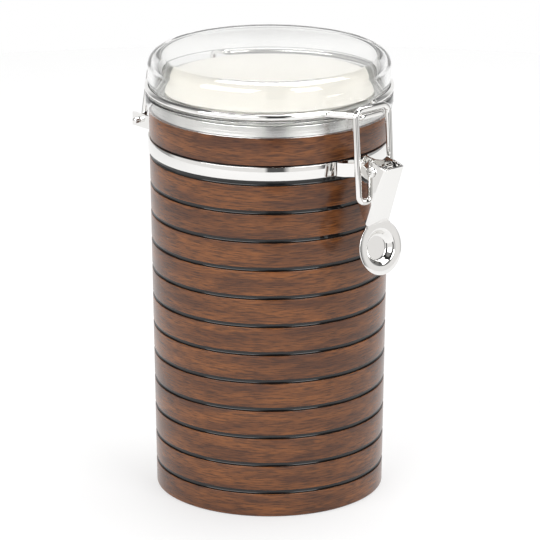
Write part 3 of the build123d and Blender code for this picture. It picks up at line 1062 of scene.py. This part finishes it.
@dataclass
class Studio:
    """The pale floor, the soft lights and the camera."""

    view_deg: float = 42.0  # how far the camera stands round from the latch
    tilt_deg: float = 17.74
    distance: float = 2.1687
    lens_mm: float = 291.5
    sensor_mm: float = 36.0
    aim_height: float = 0.10944
    aim_right: float = 0.0003
    far_clip: float = 50.0
    table_radius: float = 0.85
    table_steps: int = 96
    table_colour: str = "#9C9C9C"
    table_roughness: float = 0.9
    table_glow: float = 0.54  # carries the floor's edge into the white behind it
    light_distance: float = 1.6
    light_aim: float = 0.12
    softboxes: Sequence[Softbox] = (
        Softbox("left_softbox", -41, 30, (1.5, 0.8), 18),
        Softbox("right_softbox", 38, 30, (0.7, 0.8), 10),
        Softbox("top_softbox", 150, 75, (1.6, 1.2), 32),
    )
    # Tones of the room from the camera's side (0) round to the back (1)
    rear_panels: Panels = (
        (0.57, Tone.BRIGHT),
        (0.66, Tone.GREY),
        (0.84, Tone.GREY),
        (0.93, Tone.WHITE),
    )
    # Tones of the room from the camera's left (0) to its right (1)
    front_panels: Panels = (
        (0.46, Tone.BRIGHT),
        (0.49, Tone.DARK),
        (0.61, Tone.DARK),
        (0.66, Tone.BRIGHT),
        (0.85, Tone.BRIGHT),
        (0.89, Tone.DARK),
        (0.94, Tone.DARK),
        (0.98, Tone.BRIGHT),
    )
    panel_blend: float = 0.1
    ceiling_start: Pair = (0.33, 0.55)  # sines of the angles where it begins and is full
    ceiling_share: float = 0.3  # brightness of the ceiling against the walls

    def direction(self, round_deg: float, up_deg: float) -> Vector:
        """Unit vector away from the can, at an angle from the camera's side."""
        turn = radians(self.view_deg - round_deg)
        level, height = cos(radians(up_deg)), sin(radians(up_deg))
        return Vector((-sin(turn) * level, -cos(turn) * level, height))

    def build_camera(self) -> None:
        """Stand the camera where the photograph was taken from."""
        right = Vector((cos(radians(self.view_deg)), -sin(radians(self.view_deg)), 0))
        aim = right * self.aim_right + Vector((0, 0, self.aim_height))
        lens = bpy.data.cameras.new("camera")
        lens.lens = self.lens_mm
        lens.sensor_width = self.sensor_mm
        lens.clip_end = self.far_clip
        camera = bpy.data.objects.new("camera", lens)
        camera.location = aim + self.direction(0, self.tilt_deg) * self.distance
        camera.rotation_euler = (aim - camera.location).to_track_quat("-Z", "Y").to_euler()
        bpy.context.scene.collection.objects.link(camera)
        bpy.context.scene.camera = camera

    def hang(self, box: Softbox) -> None:
        """Hang one softbox that faces the can."""
        lamp = bpy.data.lights.new(box.name, "AREA")
        lamp.shape = "RECTANGLE"
        lamp.size, lamp.size_y = box.size
        lamp.energy = box.watts
        light = bpy.data.objects.new(box.name, lamp)
        away = self.direction(box.round_deg, box.up_deg)
        light.location = Vector((0, 0, self.light_aim)) + away * self.light_distance
        light.rotation_euler = away.to_track_quat("Z", "Y").to_euler()
        light.visible_camera = False
        bpy.context.scene.collection.objects.link(light)

    def share(
        self, tree: bpy.types.NodeTree, way: bpy.types.NodeSocket, round_deg: float, reach: float
    ) -> bpy.types.NodeSocket:
        """Measure how far each direction of the room turns towards one side.

        Args:
            tree: Node tree of the world.
            way: Socket that gives the direction.
            round_deg: The side, as an angle from the camera.
            reach: Dot product at which the share is 1; at minus this it is 0.

        Returns:
            The share's socket.
        """
        dot = add_node(
            tree,
            "ShaderNodeVectorMath",
            {"operation": "DOT_PRODUCT", 1: self.direction(round_deg, 0)},
            {0: way},
        )
        ranged = add_node(
            tree,
            "ShaderNodeMapRange",
            {"From Min": -reach, "From Max": reach},
            {"Value": dot.outputs["Value"]},
        )
        return ranged.outputs[0]

    def panels(
        self, tree: bpy.types.NodeTree, share: bpy.types.NodeSocket, panels: Panels
    ) -> bpy.types.NodeSocket:
        """Lay panels along a share of the room, and give their colour's socket."""
        stops = [(place, linear(tone.value)) for place, tone in panels]
        ramp = add_node(tree, "ShaderNodeValToRGB", {"stops": stops}, {"Fac": share})
        return ramp.outputs["Color"]

    def build_world(self) -> None:
        """Light the room with bright and darker panels, and show the camera plain white."""
        world = bpy.data.worlds.new("studio")
        world.use_nodes = True
        tree = world.node_tree
        tree.nodes.clear()
        way = add_node(tree, "ShaderNodeTexCoord").outputs["Generated"]
        rear = self.panels(tree, self.share(tree, way, 180, 1.0), self.rear_panels)
        front = self.panels(tree, self.share(tree, way, 90, 1.0), self.front_panels)
        behind = self.share(tree, way, 180, self.panel_blend)
        room = add_node(
            tree,
            "ShaderNodeMix",
            {"data_type": "RGBA"},
            {0: behind, MIX_FROM: front, MIX_TO: rear},
        )
        split = add_node(tree, "ShaderNodeSeparateXYZ", None, {0: way})
        low, full = self.ceiling_start
        ceiling = add_node(
            tree,
            "ShaderNodeMapRange",
            {"From Min": low, "From Max": full, "To Min": 1.0, "To Max": self.ceiling_share},
            {"Value": split.outputs["Z"]},
        )
        dimmed = add_node(
            tree,
            "ShaderNodeVectorMath",
            {"operation": "SCALE"},
            {0: room.outputs[MIX_RESULT], "Scale": ceiling.outputs[0]},
        )
        path = add_node(tree, "ShaderNodeLightPath")
        seen = add_node(
            tree,
            "ShaderNodeMix",
            {"data_type": "RGBA", MIX_TO: linear(Tone.WHITE.value)},
            {0: path.outputs["Is Camera Ray"], MIX_FROM: dimmed.outputs[0]},
        )
        light = add_node(
            tree, "ShaderNodeBackground", {"Strength": 1.0}, {"Color": seen.outputs[MIX_RESULT]}
        )
        add_node(tree, "ShaderNodeOutputWorld", None, {"Surface": light.outputs[0]})
        bpy.context.scene.world = world

    def build_floor(self) -> None:
        """Lay the pale floor."""
        steps = self.table_steps
        turns = [2 * pi * step / steps for step in range(steps)]
        edge = [Vector((cos(turn), sin(turn), 0)) * self.table_radius for turn in turns]
        floor = make_mesh("floor", edge, [list(range(steps))])
        paper = bpy.data.materials.new("white_backdrop_paper")
        paper.use_nodes = True
        shader = paper.node_tree.nodes["Principled BSDF"]
        shader.inputs["Base Color"].default_value = linear(self.table_colour)
        shader.inputs["Roughness"].default_value = self.table_roughness
        shader.inputs["Emission Color"].default_value = linear(Tone.WHITE.value)
        shader.inputs["Emission Strength"].default_value = self.table_glow
        floor.data.materials.append(paper)

    def build(self) -> None:
        """Build the studio."""
        self.build_floor()
        self.build_world()
        for box in self.softboxes:
            self.hang(box)
        self.build_camera()
        bpy.context.scene.view_settings.view_transform = "Standard"


def main() -> None:
    """Build every sub-assembly in order."""
    steps: Sequence[Callable[[], None]] = (
        Can().build,
        StrapSet().build,
        Lid().build,
        Latch().build,
        Studio().build,
    )
    for step in steps:
        step()


if __name__ == "__main__":
    main()
